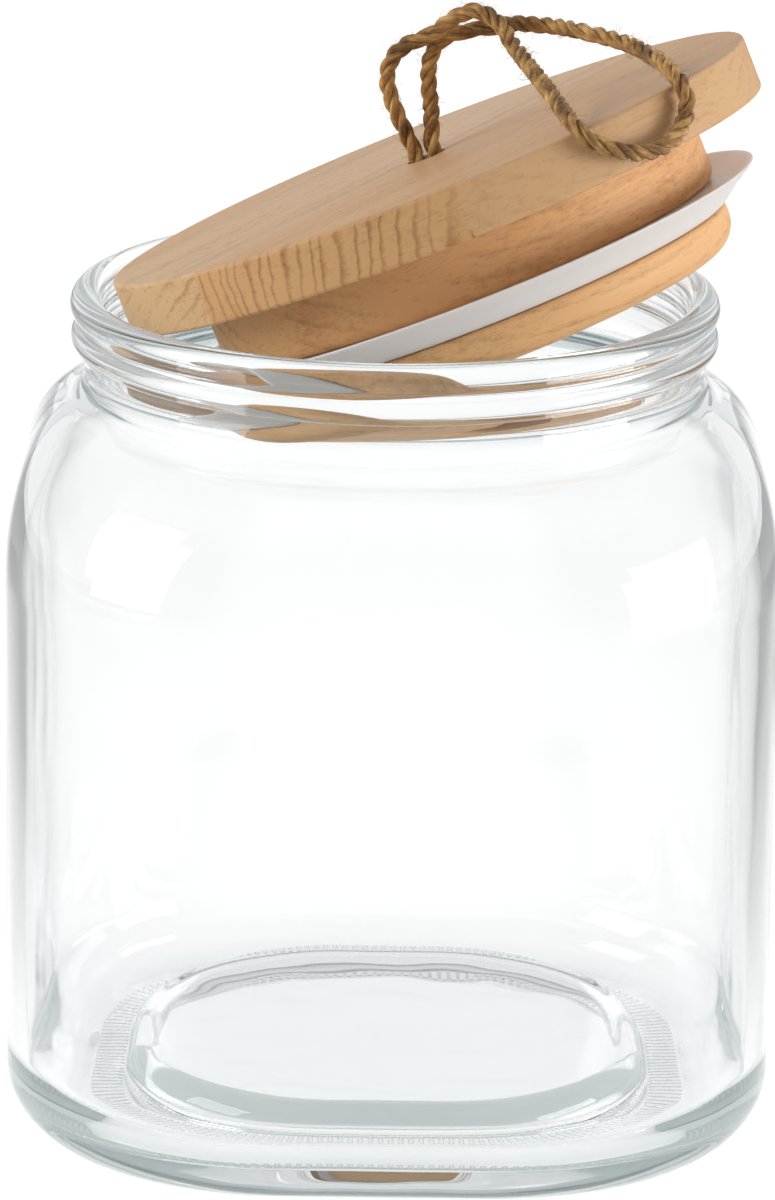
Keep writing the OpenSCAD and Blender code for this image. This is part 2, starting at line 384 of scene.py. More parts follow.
# %% Route of the loop
recess_z = -lid_h + recess_h
knot_z = recess_z - knot_d / 2 - 0.2 * mm
strand_end = (knot_z + knot_d / 2) / mm + 0.4
loop_points = [
    (-1.8, 0, strand_end), (-1.8, 0, -8), (-1.8, 0, 1), (-2.1, -1, 7.7), (-2.2, -1.5, 13.1),
    (-1.4, -2.1, 17.7), (1.4, -2.5, 21.2), (5.4, -3.5, 22.5), (10.1, -4.1, 22.6), (15.8, -4.5, 24.1),
    (20.1, -5, 23.7), (23.3, -7.5, 20.2), (24.7, -13.9, 15.3), (26.8, -27, 11.3), (28.8, -39.7, 7.8),
    (30.3, -50.6, 4.8), (31.6, -58.9, 2.2), (33.1, -61.5, -1), (35.3, -61.5, -3.8), (38.2, -60.2, -6.2),
    (41.6, -57.7, -8.2), (44.9, -54.8, -9.1), (48.2, -51.2, -8.7), (51, -48, -6.9), (52.8, -46, -4.4),
    (53.4, -45, -1.1), (52.4, -41.2, 2.4), (50.2, -32.9, 5), (47.3, -23.9, 7.4), (44.2, -17.2, 9.4),
    (39.7, -11.7, 12), (35, -6.1, 14.5), (30.5, -2, 16.4), (25.4, -0.4, 18.5), (20.7, -0.3, 19.4),
    (15.8, -0.1, 20.5), (10.9, 0, 20.4), (7.5, 0.1, 17.4), (5.6, 0.2, 13), (4.2, 0.2, 8), (1.8, 0, 1),
    (1.8, 0, -8), (1.8, 0, strand_end)]
loop_path = [LID @ p for p in smooth_path([Vector(p) * mm for p in loop_points])]

# %% [markdown]
# ## Twisted plies
# Three plies wind round the route. Geometry Nodes copy the route once for each ply, push the copies out on a
# helix, and sweep a small circle along them. The sweep's place along and round the cord is kept as an
# attribute for the material. This tree also makes the knot.

# %% Tree that twists the plies: the place of each ply
ply_tree, given, result = geometry_tree(
    "twist plies", Plies=3, Pitch=11 * mm, Lay_radius=0.92 * mm, Ply_radius=0.80 * mm, Jute=jute)
plies, pitch = given.outputs["Plies"], given.outputs["Pitch"]


def kept(geometry, name, value, kind="FLOAT"):
    """Keep a value on the points, as a named attribute."""
    links = {"Geometry": geometry, "Name": name, "Value": value}
    return node(ply_tree, "GeometryNodeStoreNamedAttribute", links, data_type=kind, domain="POINT").outputs[0]


def read(name):
    stored = node(ply_tree, "GeometryNodeInputNamedAttribute", {"Name": name}, data_type="FLOAT")
    return stored.outputs["Attribute"]


route = {"Curve": given.outputs["Geometry"], "Length": 0.5 * mm}
even = node(ply_tree, "GeometryNodeResampleCurve", route, mode="LENGTH").outputs[0]
copies = node(ply_tree, "GeometryNodeDuplicateElements", {"Geometry": even, "Amount": plies}, domain="SPLINE")
run = node(ply_tree, "GeometryNodeSplineParameter").outputs["Length"]
share = maths(ply_tree, "DIVIDE", copies.outputs["Duplicate Index"], plies)
turns = maths(ply_tree, "DIVIDE", run, pitch)
loose = maths(ply_tree, "MULTIPLY_ADD", noise_along(ply_tree, run, 60.0), 0.5, turns)
angle = maths(ply_tree, "MULTIPLY", maths(ply_tree, "ADD", loose, share), 2 * math.pi)
print("each ply gets its angle from", len(ply_tree.nodes), "nodes")

# %% Tree that twists the plies: the helix and the sweep
side = node(ply_tree, "GeometryNodeInputNormal").outputs[0]
ahead = node(ply_tree, "GeometryNodeInputTangent").outputs[0]
other = vectors(ply_tree, "CROSS_PRODUCT", ahead, side)
cos_part = scaled(ply_tree, side, maths(ply_tree, "COSINE", angle))
sin_part = scaled(ply_tree, other, maths(ply_tree, "SINE", angle))
push = scaled(ply_tree, vectors(ply_tree, "ADD", cos_part, sin_part), given.outputs["Lay_radius"])
with_run = kept(copies.outputs[0], "run", run)
helix = node(ply_tree, "GeometryNodeSetPosition", {"Geometry": with_run, "Offset": push}).outputs[0]
ply_ring = {"Resolution": 9, "Radius": given.outputs["Ply_radius"]}
ring_line = node(ply_tree, "GeometryNodeCurvePrimitiveCircle", ply_ring, mode="RADIUS").outputs[0]
with_round = kept(ring_line, "round", node(ply_tree, "GeometryNodeSplineParameter").outputs["Factor"])
sweep = {"Curve": helix, "Profile Curve": with_round, "Fill Caps": True}
swept = node(ply_tree, "GeometryNodeCurveToMesh", sweep).outputs[0]
lay = node(ply_tree, "ShaderNodeCombineXYZ", {"X": read("run"), "Y": read("round")}).outputs[0]
finish_tree(ply_tree, result, kept(swept, "lay", lay, "FLOAT_VECTOR"), given.outputs["Jute"])

# %% Loop of cord
cord_loop = grown("jute_loop", path_curve("loop route", loop_path), ply_tree)

# %% [markdown]
# ## Knot
# Both strands pass through the lid and are tied under it, in a recess, so that the loop can't pull out. A
# trefoil line gives a tight overhand knot of the same twisted cord.

# %% Knot in the recess
knot_size = 1.42 * mm


def knot_line(centre, steps=150):
    line = []
    for i in range(steps):
        t = 2 * math.pi * i / steps
        x = math.sin(t) + 2 * math.sin(2 * t)
        y = math.cos(t) - 2 * math.cos(2 * t)
        line.append(LID @ (centre + Vector((x, y, -1.5 * math.sin(3 * t))) * knot_size))
    return line


knot_route = path_curve("knot route", knot_line(Vector((0, 0, knot_z))), closed=True)
knot = grown("jute_knot", knot_route, ply_tree)

# %% [markdown]
# ## Loose fibres
# Jute is hairy: short fibres stand out of the plies all along. Points are scattered over the plies, and a
# thin bent sliver stands on each, leaning its own way.

# %% Tree that scatters fibres
hair_tree, given, result = geometry_tree(
    "loose fibres", Density=560000.0, Hair_length=1.9 * mm, Seed=4, Jute=jute)
seed = given.outputs["Seed"]
scatter = {"Mesh": given.outputs["Geometry"], "Density": given.outputs["Density"], "Seed": seed}
spots = node(hair_tree, "GeometryNodeDistributePointsOnFaces", scatter)
bent = {"Resolution": 4, "Start": (0, 0, 0), "Start Handle": (0, 0, 0.4),
        "End Handle": (0.25, 0.1, 0.7), "End": (0.7, 0.2, 0.8)}
line = node(hair_tree, "GeometryNodeCurvePrimitiveBezierSegment", bent).outputs[0]
thin_ring = {"Resolution": 3, "Radius": 0.018}
hair_ring = node(hair_tree, "GeometryNodeCurvePrimitiveCircle", thin_ring, mode="RADIUS").outputs[0]
sliver = node(hair_tree, "GeometryNodeCurveToMesh", {"Curve": line, "Profile Curve": hair_ring}).outputs[0]
tilts = {0: (-1.1, -1.1, -3.1), 1: (1.1, 1.1, 3.1), "Seed": seed}
tilt = node(hair_tree, "FunctionNodeRandomValue", tilts, data_type="FLOAT_VECTOR").outputs[0]
turning = {"Rotation": spots.outputs["Rotation"], "Rotate By": tilt}
stand = node(hair_tree, "FunctionNodeRotateRotation", turning, rotation_space="LOCAL").outputs[0]
lengths = {2: 0.25, 3: 1.0, "Seed": seed}
length = node(hair_tree, "FunctionNodeRandomValue", lengths, data_type="FLOAT").outputs[1]
size = maths(hair_tree, "MULTIPLY", length, given.outputs["Hair_length"])
planting = {"Points": spots.outputs["Points"], "Instance": sliver, "Rotation": stand, "Scale": size}
planted = node(hair_tree, "GeometryNodeInstanceOnPoints", planting).outputs[0]
finish_tree(hair_tree, result, planted, given.outputs["Jute"], smooth=False)

# %% Fibres on the loop
hair_base = bpy.data.objects.new("hair base", cord_loop.data.copy())
bpy.context.scene.collection.objects.link(hair_base)
fibres_piece = grown("jute_fibres", hair_base, hair_tree)

dress(knot, jute, "knot", "jute", "cord_knot")
dress(fibres_piece, jute, "lid", "jute")
dress(cord_loop, jute, "lid", "jute", "cord_loop")

# %% [markdown]
# ## Beech
# Beech shows fine growth rings on its end grain, and on its long grain soft streaks and short dark flecks,
# the ends of its rays. The rings are real cylinders about a pith here, cut by whatever surface the piece has,
# so end grain and long grain come out right on a turned edge. One group makes the pattern, and each stave has
# its own pith and tone.

# %% Group for wood grain: its sockets
g = bpy.data.node_groups.new("beech grain", "ShaderNodeTree")
for key, kind, value in (
        ("Vector", "Vector", (0, 0, 0)), ("Pith", "Vector", (0, 0.2, 0)), ("Ring width", "Float", 0.0022),
        ("Pale", "Color", (0.72, 0.52, 0.34, 1)), ("Dark", "Color", (0.5, 0.3, 0.16, 1)),
        ("Ring strength", "Float", 0.5), ("Fleck strength", "Float", 0.5)):
    g.interface.new_socket(key, in_out="INPUT", socket_type="NodeSocket" + kind).default_value = value
for key, kind in (("Color", "Color"), ("Height", "Float"), ("Roughness", "Float")):
    g.interface.new_socket(key, in_out="OUTPUT", socket_type="NodeSocket" + kind)
given, result = g.nodes.new("NodeGroupInput"), g.nodes.new("NodeGroupOutput")
wood_at, year_width = given.outputs["Vector"], given.outputs["Ring width"]
print("group", g.name, "takes", [s.name for s in given.outputs if s.name])

# %% Group for wood grain: the growth rings
# The rings sway along the trunk, wobble a little, fade in places, and show less on the top face.
sway = noise(g, stretched(g, wood_at, (5, 22, 22)), 1.0, 2.0)
from_pith = vectors(g, "SUBTRACT", wood_at, given.outputs["Pith"])
flat = vectors(g, "MULTIPLY", from_pith, (0, 1, 1))
radius = node(g, "ShaderNodeVectorMath", {0: flat}, operation="LENGTH").outputs["Value"]
wobble = noise(g, wood_at, 260.0, 1.0)
wavy = maths(g, "MULTIPLY_ADD", sway, 0.012, maths(g, "MULTIPLY_ADD", wobble, 0.0016, radius))
years = maths(g, "DIVIDE", wavy, year_width)
years = maths(g, "MULTIPLY_ADD", noise_along(g, years, 0.35), 1.2, years)
late = maths(g, "FRACT", years)
line_in = eased(g, late, 0.5, 0.88, smooth=True)
line_out = eased(g, late, 0.88, 1.0, to=(1.0, 0.0))
fading = eased(g, noise(g, wood_at, 55.0, 1.0), 0.35, 0.6, to=(0.25, 1.0))
height_in = node(g, "ShaderNodeSeparateXYZ", {0: wood_at}).outputs["Z"]
on_top = eased(g, height_in, -0.0009, -0.0002)
less_on_top = maths(g, "MULTIPLY_ADD", on_top, -0.65, 1.0)
line = maths(g, "MULTIPLY", line_in, line_out)
ring = maths(g, "MULTIPLY", line, maths(g, "MULTIPLY", fading, less_on_top))
print("rings take", len(g.nodes), "nodes")

# %% Group for wood grain: streaks, flecks, pores, and a painted sheen on the top face
streak = noise(g, stretched(g, wood_at, (14, 900, 900)), 1.0, 3.0, 0.6)
broad = noise(g, stretched(g, wood_at, (6, 70, 70)), 1.0, 2.0)
pores = noise(g, stretched(g, wood_at, (60, 3800, 3800)), 1.0, 2.0)
fleck = eased(g, noise(g, stretched(g, wood_at, (420, 420, 2600)), 1.0, 2.0, 0.6), 0.52, 0.80)
dark = maths(g, "MULTIPLY", ring, given.outputs["Ring strength"])
for pattern, weight in ((streak, 0.75), (broad, 0.9), (pores, 0.35)):
    dark = maths(g, "ADD", dark, maths(g, "MULTIPLY", maths(g, "SUBTRACT", pattern, 0.5), weight))
dark = maths(g, "ADD", dark, maths(g, "MULTIPLY", fleck, given.outputs["Fleck strength"]), clamp=True)
tones = {"Factor": dark, 6: given.outputs["Pale"], 7: given.outputs["Dark"]}
blend = node(g, "ShaderNodeMix", tones, data_type="RGBA").outputs[2]
# Painted sheen: the top face is made a little greyer in colour, standing in for the pale light its surface
# reflects.
sheen_greying_inputs = {"Saturation": maths(g, "MULTIPLY_ADD", on_top, -0.05, 1.0), "Color": blend}
painted_top_sheen = node(g, "ShaderNodeHueSaturation", sheen_greying_inputs)
g.links.new(painted_top_sheen.outputs["Color"], result.inputs["Color"])
height = maths(g, "SUBTRACT", maths(g, "MULTIPLY", streak, 0.5), maths(g, "MULTIPLY", dark, 0.2))
g.links.new(height, result.inputs["Height"])
g.links.new(maths(g, "MULTIPLY_ADD", dark, 0.12, 0.5), result.inputs["Roughness"])
beech_grain = g
print("group", g.name, len(g.nodes), "nodes")


# %% A beech material for each piece of wood
def beech(name, pith, ring_width, pale, dark, rings=0.5, flecks=0.5):
    mat, nt, skin = material(name)
    lid_frame = {"Vector": object_place(nt), "Location": GRAIN.translation, "Rotation": GRAIN.to_euler()}
    across = node(nt, "ShaderNodeMapping", lid_frame, vector_type="TEXTURE").outputs[0]
    grain = node(nt, "ShaderNodeGroup", node_tree=beech_grain)
    nt.links.new(across, grain.inputs["Vector"])
    for key, value in (("Pith", pith), ("Ring width", ring_width), ("Pale", (*pale, 1)),
                       ("Dark", (*dark, 1)), ("Ring strength", rings), ("Fleck strength", flecks)):
        grain.inputs[key].default_value = value
    nt.links.new(grain.outputs["Color"], skin.inputs["Base Color"])
    nt.links.new(grain.outputs["Roughness"], skin.inputs["Roughness"])
    skin.inputs["Specular IOR Level"].default_value = 0.25
    bumped(nt, skin, grain.outputs["Height"], 0.35, 0.0003)
    return mat


tan, tan_dark = (0.63, 0.36, 0.17), (0.33, 0.145, 0.048)
# Stave 2's paler tone is partly its wood and partly painted light: the brighter left end of the board.
pale_and_lit_end, striped, plain_edge = (0.63, 0.40, 0.205), (0.61, 0.345, 0.152), (0.60, 0.36, 0.178)
stave_looks = {
    1: beech("beech stave 1", (0, -0.16, 0.05), 0.0034, tan, tan_dark, 0.3),
    2: beech("beech stave 2", (0, 0.075, -0.22), 0.0036, pale_and_lit_end, tan_dark, 0.45, 0.5),
    3: beech("beech stave 3", (0, 0.30, -0.05), 0.0025, striped, tan_dark, 0.7, 0.4),
    4: beech("beech stave 4", (0, 0.20, 0.14), 0.0032, plain_edge, tan_dark, 0.15, 0.3)}
plug_tan, plug_dark = (0.74, 0.42, 0.19), (0.36, 0.165, 0.06)
plug_look = beech("beech plug", (0, 0.12, 0.21), 0.0042, plug_tan, plug_dark, 0.3, 0.5)
print("woods", [m.name for m in stave_looks.values()] + [plug_look.name])

# %% [markdown]
# ## Board
# The board is glued up from staves and then turned round, so the outer staves are slim offcuts. A full turned
# board is cut along the glue lines, and each cut is closed.

# %% Staves of the board
board_profile = ([(hole_r, 0)] + bend(board_r - board_edge, -board_edge, board_edge, 90, 0)
                 + bend(board_r - board_edge, -board_t + board_edge, board_edge, 0, -90)
                 + [(hole_r, -board_t)])


def cut_away(bm, place, towards):
    """Cut off what lies behind a plane, and close the cut."""
    everything = bm.verts[:] + bm.edges[:] + bm.faces[:]
    bmesh.ops.bisect_plane(bm, geom=everything, dist=1e-7, plane_co=place, plane_no=towards, clear_inner=True)
    rim = [e for e in bm.edges if e.is_boundary]
    if rim:
        bmesh.ops.triangulate(bm, faces=bmesh.ops.edgeloop_fill(bm, edges=rim)["faces"])


def stave(n):
    piece = add_mesh(f"board_stave_{n}", *turned(board_profile, steps=288, place=Matrix.Identity(4)))
    outward(piece)
    bm = bmesh.new()
    bm.from_mesh(piece.data)
    across = Matrix.Rotation(grain_turn, 3, "Z") @ Vector((0, 1, 0))
    cut_away(bm, across * ((n - 3) * stave_w), across)
    cut_away(bm, across * ((n - 2) * stave_w), -across)
    bmesh.ops.recalc_face_normals(bm, faces=bm.faces)
    bm.transform(LID)
    bm.to_mesh(piece.data)
    bm.free()
    crisp(piece)
    dress(piece, stave_looks[n], "lid", "beech", f"lid_stave_{n}")
    return piece


staves = [stave(n) for n in (1, 2, 3, 4)]
print("staves", [len(s.data.polygons) for s in staves])

# %% [markdown]
# ## Plug
# The plug is one turning glued under the board: a collar, a groove for the seal, and a foot with a round
# edge. Its recess hides the knot.

# %% Plug
groove_z = -board_t - groove_top
groove_foot = groove_z - groove_h
groove_r = plug_r - groove_in
lower_edge = 1 * mm
plug_profile = ([(hole_r, -board_t), (plug_r, -board_t)]
                + bend(plug_r - collar_edge, groove_z + collar_edge, collar_edge, 0, -90)
                + [(groove_r, groove_z), (groove_r, groove_foot)]
                + bend(plug_r - lower_edge, groove_foot - lower_edge, lower_edge, 90, 0)
                + bend(plug_r - plug_edge, -lid_h + plug_edge, plug_edge, 0, -90, steps=12)
                + [(recess_r, -lid_h), (recess_r, recess_z), (hole_r, recess_z)])
plug = add_mesh("beech_plug", *turned(plug_profile, steps=288))
outward(plug)
crisp(plug)
dress(plug, plug_look, "lid", "beech", "lid_plug")
print("plug", len(plug.data.polygons), "faces")

# %% [markdown]
# ## Seal
# The seal is moulded in translucent silicone. Its foot sits in the groove, and a thin lip flares up and out
# to wipe the mouth. It is a turned profile with rounded corners.

# %% Silicone material
silicone, nt, skin = material("translucent silicone")
skin.inputs["Base Color"].default_value = (0.96, 0.92, 0.895, 1)
skin.inputs["Subsurface Weight"].default_value = 0.45
skin.inputs["Subsurface Scale"].default_value = 0.004
skin.inputs["Subsurface Radius"].default_value = (1, 0.9, 0.85)
skin.inputs["Transmission Weight"].default_value = 0.25
skin.inputs["IOR"].default_value = 1.42
satin = noise(nt, object_place(nt), 160.0, 3.0)
nt.links.new(maths(nt, "MULTIPLY_ADD", satin, 0.16, 0.30), skin.inputs["Roughness"])
bumped(nt, skin, noise(nt, object_place(nt), 900.0, 2.0), 0.08, 0.0002)
print("made", silicone.name)

# %% Seal ring
gap = 0.1 * mm
lip_r = 60.5 * mm
lip_t = 1.1 * mm
lip_rise = 1.4 * mm
seal_top = groove_z - gap
seal_foot = groove_foot + gap
tip_z = groove_z + lip_rise
seal_corners = [(groove_r + gap, seal_top), (groove_r + gap, seal_foot), (plug_r - 0.5 * mm, seal_foot),
                (plug_r + 1.2 * mm, seal_foot + 0.9 * mm), (plug_r + 5 * mm, tip_z - 2.6 * mm),
                (lip_r, tip_z - lip_t * 0.5), (lip_r - 0.2 * mm, tip_z), (lip_r - 1.4 * mm, tip_z - 0.2 * mm),
                (plug_r + 2.5 * mm, seal_top - 1.6 * mm), (plug_r - 0.5 * mm, seal_top)]


def part_way(b, a, cut):
    return (b[0] + (a[0] - b[0]) * cut, b[1] + (a[1] - b[1]) * cut)


def softened(corners, cut=0.22):
    """Cut each corner of a closed profile twice, which rounds it a little."""
    for _ in range(2):
        done = []
        for i, b in enumerate(corners):
            a, c = corners[i - 1], corners[(i + 1) % len(corners)]
            done += [part_way(b, a, cut), part_way(b, c, cut)]
        corners = done
    return corners


seal = add_mesh("silicone_seal", *turned(softened(seal_corners), steps=240))
outward(seal)
dress(seal, silicone, "lid", "silicone", "seal_ring")
print("seal", len(seal.data.polygons), "faces")

# %% [markdown]
# ## Glass
# Pressed soda-lime glass is clear with a faint grey cast. Its surface keeps a slight ripple from the
# mould, which bends what shows through it. The cast is an absorption inside the glass, so that it deepens
# where the glass is thick or seen on edge. Rays from lamps pass straight through, and so do rays that have
# bounced about inside until they are about to be dropped.

# %% Glass material: its surface
glass, nt, skin = material("pressed glass")
skin.inputs["Base Color"].default_value = (1, 1, 1, 1)
skin.inputs["Roughness"].default_value = 0.0
skin.inputs["IOR"].default_value = 1.5
skin.inputs["Transmission Weight"].default_value = 1.0
ripple = noise(nt, stretched(nt, object_place(nt), (1, 1, 0.5)), 38.0, 1.0)
bumped(nt, skin, ripple, 0.22, 0.002)
print("made", glass.name)

# %% Glass material: rays that pass straight through, and its cast
clear = node(nt, "ShaderNodeBsdfTransparent", {"Color": (0.93, 0.95, 0.945, 1)})
rays = node(nt, "ShaderNodeLightPath").outputs
lamp_or_matt = maths(nt, "MAXIMUM", rays["Is Shadow Ray"], rays["Is Diffuse Ray"])
much_reflected = maths(nt, "GREATER_THAN", rays["Glossy Depth"], 2.5)
long_way = maths(nt, "GREATER_THAN", rays["Ray Depth"], 8.5)
straight = maths(nt, "MAXIMUM", lamp_or_matt, maths(nt, "MAXIMUM", much_reflected, long_way))
through = node(nt, "ShaderNodeMixShader", {0: straight, 1: skin.outputs[0], 2: clear.outputs[0]})
cast = node(nt, "ShaderNodeVolumeAbsorption", {"Color": (0.81, 0.83, 0.835, 1), "Density": 58.0})
nt.links.new(through.outputs[0], nt.nodes["Material Output"].inputs["Surface"])
nt.links.new(cast.outputs[0], nt.nodes["Material Output"].inputs["Volume"])
print(glass.name, "has", len(nt.nodes), "nodes")

# %% [markdown]
# ## Jar
# The body is flat-sided with round corners, and its shoulder turns into a circle under the neck. Every level
# of the glass, outside and in, is the same kind of ring: a flat-sided round-cornered outline given by its
# half width and its corner radius, which is a circle where the two are equal. Joined from the push-up, out
# and up over the rim and down the inside to the floor, the rings make one closed skin.

# %% One ring of the jar
steps_round = 224


def jar_ring(half, corner, z):
    """Points round a flat-sided outline with round corners, at even angles."""
    reach, out = half - corner, []
    for s in range(steps_round):
        a = 2 * math.pi * s / steps_round
        q = a % (math.pi / 2)
        f = min(q, math.pi / 2 - q)
        if half * math.tan(f) <= reach:
            r = half / math.cos(f)
        else:
            rest = corner ** 2 - reach ** 2 * (1 - math.sin(2 * f))
            r = reach * (math.cos(f) + math.sin(f)) + math.sqrt(max(0, rest))
        out.append((r * math.cos(a), r * math.sin(a), z))
    return out


print("a ring has", len(jar_ring(body_half, corner_r, 0)), "points")


# %% Stacks of rings: half width, corner radius and height of each
def quarter_turn(n):
    return [math.pi / 2 * i / n for i in range(n + 1)]


def heel_rings(half, corner, r, z, n=10):
    """A rounded edge that rises from z and spreads outwards to half width."""
    return [(half - r * (1 - math.sin(t)), corner - r * (1 - math.sin(t)), z + r * (1 - math.cos(t)))
            for t in quarter_turn(n)]


def dome_rings(half, corner, r, z, n=10):
    """A rounded edge that rises from half width inwards by r, as far as r above z."""
    return [(half - r * (1 - math.cos(t)), corner - r * (1 - math.cos(t)), z + r * math.sin(t))
            for t in quarter_turn(n)]


def wall_rings(half, corner, z0, z1, n=10):
    return [(half, corner, z0 + (z1 - z0) * i / n) for i in range(1, n)]


def shoulder_rings(half, corner, top, z, h, end, n=26):
    """A shoulder, a little fuller than an ellipse, that closes in towards a circle as it rises."""
    out = []
    for i in range(n + 1):
        t = math.radians(end) * i / n
        reach = math.cos(t) ** shoulder_power
        w = top + (half - top) * reach
        out.append((w, w - (half - corner) * reach, z + h * math.sin(t)))
    return out


def circle_rings(points):
    return [(r, r, z) for r, z in points]


# %% Levels of the jar
# The shoulder's curve ends short of a quarter turn, at these degrees, and its power below 1 makes it fuller.
neck_r = mouth_r + neck_wall
rim_mid_r = mouth_r + rim_r
bead_z = rim_z - bead_drop
neck_foot = jar_h - neck_h
shoulder_z = neck_foot - shoulder_h
shoulder_in = 3 * mm
shoulder_power = 0.8
outer_shoulder_end, inner_shoulder_end = 74.2, 76
bore_foot = shoulder_z - wall / 2 + shoulder_h
bowl_z = floor_t + push_h - gutter
inner_half = body_half - wall
inner_corner = corner_r - wall
inner_heel_r = heel_r - gutter / 2
print("shoulder starts at", round(shoulder_z, 4), "and the neck at", round(neck_foot, 4))

# %% Outer side of the jar, from the middle of the push-up to the top of the rim
push_inner = [(w, min(push_r - push_h, w), push_h) for w in (4 * mm, 14 * mm, 26 * mm, 38 * mm)]
foot_band = [(push_half + w, push_r + w, band_lift) for w in (0.6 * mm, 3 * mm, 9 * mm)]
foot_fillet = bend(neck_r + neck_fillet, neck_foot + neck_fillet, neck_fillet, start=250, end=180)
bead_arc = bend(neck_r, bead_z, bead_r, start=-88, end=62, steps=16)
rim_arc = bend(rim_mid_r, rim_z, rim_r, start=-48, end=180, steps=24)
outer_shoulder = shoulder_rings(
    body_half, corner_r, neck_r - shoulder_in, shoulder_z, shoulder_h, outer_shoulder_end)
outer = (push_inner + dome_rings(push_half, push_r, push_h, 0)[::-1] + foot_band
         + heel_rings(body_half, corner_r, heel_r, 0) + wall_rings(body_half, corner_r, heel_r, shoulder_z)
         + outer_shoulder + circle_rings(foot_fillet + bead_arc + rim_arc))
print(len(outer), "rings outside")

# %% Inner side of the jar, from the rim down to the middle of the floor
bore = [(mouth_r, rim_z - 2 * mm), (mouth_r, rim_z - 8 * mm), (mouth_r, bore_foot + 1.5 * mm),
        (mouth_r + 0.2 * mm, bore_foot + 0.6 * mm), (mouth_r + 0.8 * mm, bore_foot - 0.2 * mm)]
inner_shoulder_z = shoulder_z - wall / 2
inner_shoulder = shoulder_rings(
    inner_half, inner_corner, mouth_r - shoulder_in, inner_shoulder_z, shoulder_h - wall / 2,
    inner_shoulder_end)
inner_wall = wall_rings(inner_half, inner_corner, inner_shoulder_z, bowl_z + inner_heel_r)
inner_heel = heel_rings(inner_half, inner_corner, inner_heel_r, bowl_z)
floor_edge = [(push_half + 1 * mm, push_r + 1 * mm, bowl_z)] + dome_rings(push_half, push_r, gutter, bowl_z)
floor_middle = [(w, min(push_r - gutter, w), bowl_z + gutter) for w in (30 * mm, 16 * mm, 5 * mm)]
inner = circle_rings(bore) + inner_shoulder[::-1] + inner_wall + inner_heel[::-1] + floor_edge + floor_middle
print(len(inner), "rings inside")

# %% Skin of the jar
stack = outer + inner
points = [p for ring in stack for p in jar_ring(*ring)] + [(0, 0, push_h), (0, 0, bowl_z + gutter)]
n = steps_round
last = (len(stack) - 1) * n
faces = [(k * n + i, k * n + (i + 1) % n, (k + 1) * n + (i + 1) % n, (k + 1) * n + i)
         for k in range(len(stack) - 1) for i in range(n)]
faces += [(len(points) - 2, (i + 1) % n, i) for i in range(n)]
faces += [(len(points) - 1, last + i, last + (i + 1) % n) for i in range(n)]
jar = add_mesh("glass_jar_skin", points, faces)
outward(jar)
dress(jar, glass, "jar", "glass", "glass_jar")
print("jar", len(jar.data.polygons), "faces")

# %% [markdown]
# ## Knurled foot
# A pressed jar stands on a ring of small radial ridges, which keep its foot from sticking on a wet table. The
# ridges are one small bar, copied along a rounded square.

# %% Tree that sets the ridges out
ridge_tree, given, result = geometry_tree(
    "foot ridges", Spacing=2.0 * mm, Ridge_length=7.0 * mm, Ridge_width=1.1 * mm, Ridge_depth=0.9 * mm,
    Glass=glass)
ridge_line = {"Curve": given.outputs["Geometry"], "Length": given.outputs["Spacing"]}
even = node(ridge_tree, "GeometryNodeResampleCurve", ridge_line, mode="LENGTH").outputs[0]
round_bar = {"Vertices": 12, "Radius": 0.5, "Depth": 1.0}
bar = node(ridge_tree, "GeometryNodeMeshCylinder", round_bar).outputs["Mesh"]
laid_down = {"Geometry": bar, "Rotation": (math.pi / 2, 0, 0)}
lying = node(ridge_tree, "GeometryNodeTransform", laid_down).outputs[0]
ridge_sides = {"X": given.outputs["Ridge_width"], "Y": given.outputs["Ridge_length"],
               "Z": given.outputs["Ridge_depth"]}
bar_size = node(ridge_tree, "ShaderNodeCombineXYZ", ridge_sides).outputs[0]
ahead = node(ridge_tree, "GeometryNodeInputTangent").outputs[0]
facing = node(ridge_tree, "FunctionNodeAlignRotationToVector", {"Vector": ahead}, axis="X", pivot_axis="Z")
planting = {"Points": even, "Instance": lying, "Rotation": facing.outputs[0], "Scale": bar_size}
planted = node(ridge_tree, "GeometryNodeInstanceOnPoints", planting).outputs[0]
finish_tree(ridge_tree, result, planted, given.outputs["Glass"])

# %% Ridges round the foot
ridge_half, ridge_corner, ridge_z = 57.5 * mm, 42 * mm, 0.45 * mm
ridge_route = path_curve("ridge route", jar_ring(ridge_half, ridge_corner, ridge_z), closed=True)
ridges = grown("glass_foot_ridges", ridge_route, ridge_tree)
crisp(ridges, 60)
dress(ridges, glass, "jar", "glass")

# %% [markdown]
# ## Floor and light
# A white sweep in a dimmer room is how a studio shows clear glass, which is seen only where it bends the room's
# grey into view. So the floor is white to look at, but rays that the glass has bent find it white only in a
# wedge that widens towards the back, and grey beside it. The wood is lit mostly from the sides.

# %% Floor
floor_corners = [(-6, -4, 0), (6, -4, 0), (6, 8, 0), (-6, 8, 0)]
white_lift = 0.65
wedge_tip, wedge_in, wedge_out = 1.41, 0.068, 0.175
floor = add_mesh("studio_floor", floor_corners, [(0, 1, 2, 3)], smooth=False)
white, nt, skin = material("white floor")
skin.inputs["Base Color"].default_value = (0.66, 0.66, 0.66, 1)
skin.inputs["Roughness"].default_value = 0.6
skin.inputs["Specular IOR Level"].default_value = 0.1
spot = node(nt, "ShaderNodeSeparateXYZ", {0: object_place(nt)}).outputs
from_tip = maths(nt, "MAXIMUM", maths(nt, "ADD", spot["Y"], wedge_tip), 0.3)
aside = maths(nt, "DIVIDE", maths(nt, "ABSOLUTE", spot["X"]), from_tip)
wedge = eased(nt, aside, wedge_in, wedge_out, smooth=True, to=(white_lift, 0.0))
rays = node(nt, "ShaderNodeLightPath").outputs
bent = maths(nt, "MAXIMUM", rays["Is Glossy Ray"], rays["Is Transmission Ray"])
seen = maths(nt, "MULTIPLY", rays["Is Camera Ray"], white_lift)
